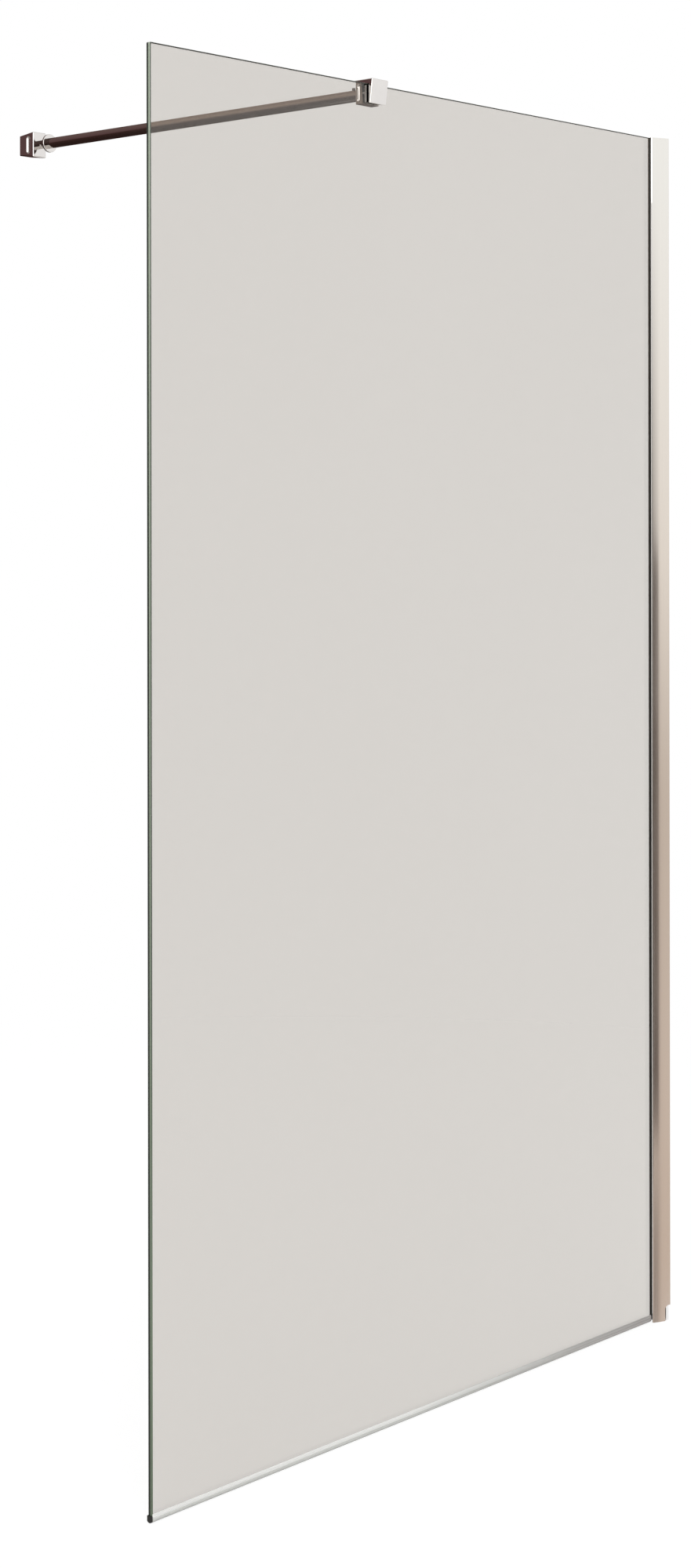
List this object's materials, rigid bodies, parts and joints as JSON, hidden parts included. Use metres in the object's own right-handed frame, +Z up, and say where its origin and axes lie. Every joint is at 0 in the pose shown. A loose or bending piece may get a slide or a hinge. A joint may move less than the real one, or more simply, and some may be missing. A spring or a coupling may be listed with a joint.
{
  "type": "walk-in shower screen",
  "caption": "Walk-in shower screen: clear glass panel in a polished wall profile with a foot seal, braced by a round bar from a top-edge clamp to a rear-wall bracket.",
  "frame": {"origin": "on the side wall's face at floor level, in the middle of the glass's thickness", "axes": "+X along the glass into the side wall, +Y from the glass to the rear wall, +Z up"},
  "size_m": [1.1, 0.7483, 1.8583],
  "materials": {
    "clear_glass": "polished",
    "polished_aluminium": "polished",
    "mill_aluminium": "satin",
    "chrome": "polished",
    "stainless_steel": "satin",
    "blackened_steel": "satin",
    "black_rubber": "matte",
    "black_plastic": "satin",
    "clear_vinyl": "satin",
    "pale_plastic": "gloss"
  },
  "bodies": {
    "side_channel": {"wall_channel": "mill_aluminium"},
    "screen": {"glazing_profile": "polished_aluminium", "front_gasket": "black_rubber", "rear_gasket": "black_rubber", "glass_edge_strip": "black_rubber", "profile_top_cap": "polished_aluminium", "profile_lock_screws": "stainless_steel", "lock_screw_covers": "pale_plastic", "glass_panel": "clear_glass", "bottom_seal": "clear_vinyl", "seal_end_cap": "black_plastic"},
    "support_arm": {"clamp_body": "chrome", "clamp_front_pad": "black_rubber", "bar_spigot": "stainless_steel", "support_bar": "chrome", "bar_lock_screw": "blackened_steel", "bar_set_screw": "stainless_steel"},
    "clamp_jaw": {"clamp_pressure_plate": "stainless_steel", "clamp_rear_pad": "pale_plastic", "clamp_screws": "stainless_steel"},
    "wall_bracket": {"wall_stud": "chrome", "wall_block": "chrome", "wall_base": "stainless_steel", "wall_block_screw": "stainless_steel"}
  },
  "joints": [
    {"name": "width_adjust", "type": "slide", "parent": "side_channel", "child": "screen", "axis": [-1, 0, 0], "range_m": [0, 0.01]},
    {"name": "clamp_slide", "type": "slide", "parent": "screen", "child": "support_arm", "axis": [1, 0, 0], "range_m": [-0.4, 0.6]},
    {"name": "jaw_release", "type": "slide", "parent": "support_arm", "child": "clamp_jaw", "axis": [0, 1, 0], "range_m": [0, 0.0014]},
    {"name": "bracket_reach", "type": "slide", "parent": "support_arm", "child": "wall_bracket", "axis": [0, 1, 0], "range_m": [0, 0.012]}
  ]
}
